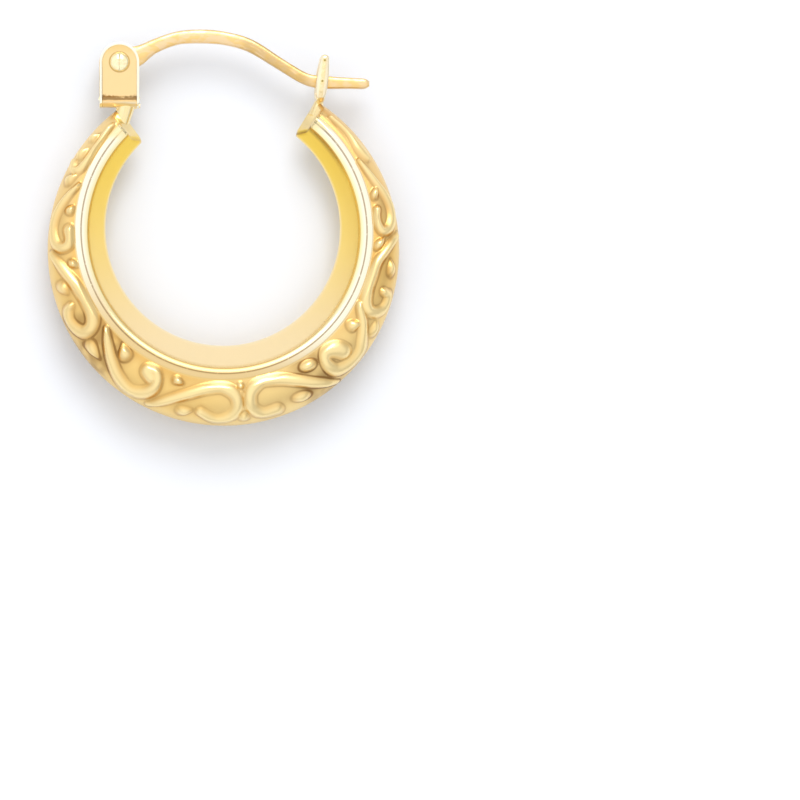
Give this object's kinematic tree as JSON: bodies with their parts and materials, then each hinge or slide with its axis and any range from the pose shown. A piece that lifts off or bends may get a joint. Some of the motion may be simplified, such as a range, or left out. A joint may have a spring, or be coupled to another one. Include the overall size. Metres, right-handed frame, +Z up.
{
  "type": "creole hoop earring",
  "caption": "Hollow gold creole earring with raised scrollwork, a polished inner rim, a riveted swinging ear wire and a prong catch.",
  "frame": {"origin": "on the surface that the earring lies on, under the middle of its outline", "axes": "+Z up, along the hoop's hole and the hinge's rivet; +Y from the hoop's lowest point to the ear wire; +X from the hinge to the catch"},
  "size_m": [0.02, 0.0226, 0.0046],
  "materials": {
    "hoop_gold": "satin scrollwork, polished rim and inner wall",
    "rivet_gold": "polished",
    "wire_gold": "fine drawn satin"
  },
  "bodies": {
    "earring": {"hoop": "hoop_gold", "hinge_rivet": "rivet_gold"},
    "swing_wire": {"ear_wire": "wire_gold"}
  },
  "joints": [
    {"name": "wire_hinge", "type": "hinge", "parent": "earring", "child": "swing_wire", "pos_m": [-0.00548, 0.00958, 0.0022], "axis": [0, 0, 1], "range_deg": [0, 100]}
  ]
}
